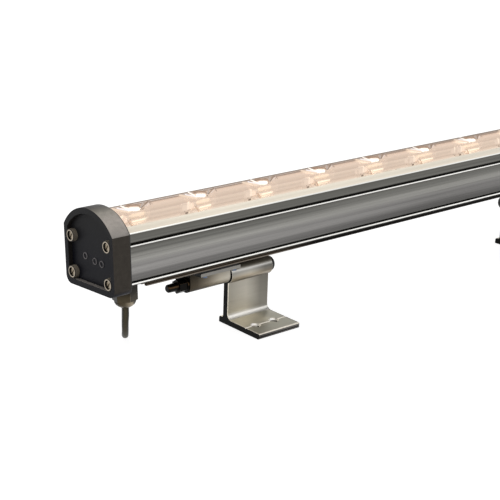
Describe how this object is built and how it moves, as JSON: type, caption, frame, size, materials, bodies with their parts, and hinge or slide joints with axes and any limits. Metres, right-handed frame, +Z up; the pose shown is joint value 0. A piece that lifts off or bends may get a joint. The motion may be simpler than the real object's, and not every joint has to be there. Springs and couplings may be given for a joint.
{
  "type": "linear grazer light",
  "caption": "Long stage light bar with a half round clear cover over a row of collimated light points, on two tilting foot brackets that slide along its bottom rail.",
  "frame": {"origin": "middle of the length, middle of the depth without the lead, and the surface under the feet", "axes": "+X along the light away from the end with the cable gland, +Y from the front of the feet to the back, +Z up"},
  "size_m": [0.6006, 0.1551, 0.1097],
  "materials": {
    "anodised_aluminium": "satin anodised, fine lengthwise extrusion lines",
    "frosted_cover": "clear with a slight haze, warm",
    "seal_rubber": "matt",
    "seal_silicone": "clear silicone, satin",
    "cap_black": "fine grained black powder coat",
    "cap_screw_steel": "plated, slotted",
    "thermal_pad": "matt",
    "led_board": "white solder mask",
    "led": "bright dome",
    "optic_clear": "polished",
    "optic_holder": "satin",
    "light_tray": "satin white",
    "screw_steel": "plated",
    "wire_socket": "satin",
    "wire_red": "silicone sleeve",
    "driver_board": "solder mask",
    "capacitor_sleeve": "shrink sleeve",
    "copper_coil": "lacquered copper",
    "chip_black": "moulded",
    "terminal_green": "moulded",
    "standoff_brass": "turned",
    "gland_metal": "satin nickel, warm grey",
    "lead_black": "satin rubber sheath",
    "plug_black": "moulded",
    "o_ring_orange": "satin",
    "pin_brass": "plated",
    "bracket_aluminium": "satin, warm grey",
    "plate_steel": "milled",
    "pad_black": "matt",
    "clamp_screw_steel": "zinc plated",
    "bolt_black": "black oxide",
    "washer_black": "matt"
  },
  "bodies": {
    "fixture": {"housing": "anodised_aluminium", "lens_cover": "frosted_cover", "front_lens_seal": "seal_silicone", "rear_lens_seal": "seal_silicone", "left_end_cap": "cap_black", "right_end_cap": "cap_black", "left_cap_gasket": "seal_rubber", "right_cap_gasket": "seal_rubber", "left_cap_screws": "cap_screw_steel", "right_cap_screws": "cap_screw_steel", "thermal_pad": "thermal_pad", "left_led_board": "led_board", "right_led_board": "led_board", "leds": "led", "optic_lenses": "optic_clear", "optic_holders": "optic_holder", "light_tray": "light_tray", "board_screws": "screw_steel", "board_plugs": "wire_socket", "board_link": "wire_red", "driver_board": "driver_board", "driver_capacitors": "capacitor_sleeve", "driver_coils": "copper_coil", "driver_chips": "chip_black", "driver_terminals": "terminal_green", "driver_standoffs": "standoff_brass", "driver_screws": "screw_steel", "driver_output_wires": "wire_red", "driver_input_wires": "lead_black", "gland_body": "gland_metal", "gland_o_ring": "seal_rubber", "gland_locknut": "gland_metal", "gland_seal": "seal_rubber", "gland_nut": "gland_metal", "power_lead": "lead_black", "plug_boot": "plug_black", "plug_shell": "plug_black", "plug_o_ring": "o_ring_orange", "plug_coupling_nut": "plug_black", "plug_pins": "pin_brass"},
    "left_clamp": {"left_hinge_base": "bracket_aluminium", "left_clamp_plate": "plate_steel", "left_slide_pad": "pad_black", "left_clamp_screws": "clamp_screw_steel", "left_slot_nuts": "screw_steel", "left_base_screws": "screw_steel", "left_pivot_bolt": "bolt_black", "left_friction_washer": "washer_black", "left_end_nut": "bolt_black"},
    "left_foot": {"left_bracket": "bracket_aluminium"},
    "right_clamp": {"right_hinge_base": "bracket_aluminium", "right_clamp_plate": "plate_steel", "right_slide_pad": "pad_black", "right_clamp_screws": "clamp_screw_steel", "right_slot_nuts": "screw_steel", "right_base_screws": "screw_steel", "right_pivot_bolt": "bolt_black", "right_friction_washer": "washer_black", "right_end_nut": "bolt_black"},
    "right_foot": {"right_bracket": "bracket_aluminium"}
  },
  "joints": [
    {"name": "left_clamp_slide", "type": "slide", "parent": "fixture", "child": "left_clamp", "axis": [1, 0, 0], "range_m": [-0.02, 0.12]},
    {"name": "left_foot_tilt", "type": "hinge", "parent": "left_clamp", "child": "left_foot", "pos_m": [-0.161, 0.00313, 0.0397], "axis": [1, 0, 0], "range_deg": [-99, 92]},
    {"name": "right_clamp_slide", "type": "slide", "parent": "fixture", "child": "right_clamp", "axis": [-1, 0, 0], "range_m": [-0.02, 0.12]},
    {"name": "right_foot_tilt", "type": "hinge", "parent": "right_clamp", "child": "right_foot", "pos_m": [0.161, 0.00313, 0.0397], "axis": [1, 0, 0], "range_deg": [-99, 92]}
  ],
  "couplings": [
    {"joint": "right_foot_tilt", "follows": "left_foot_tilt", "ratio": 1}
  ]
}
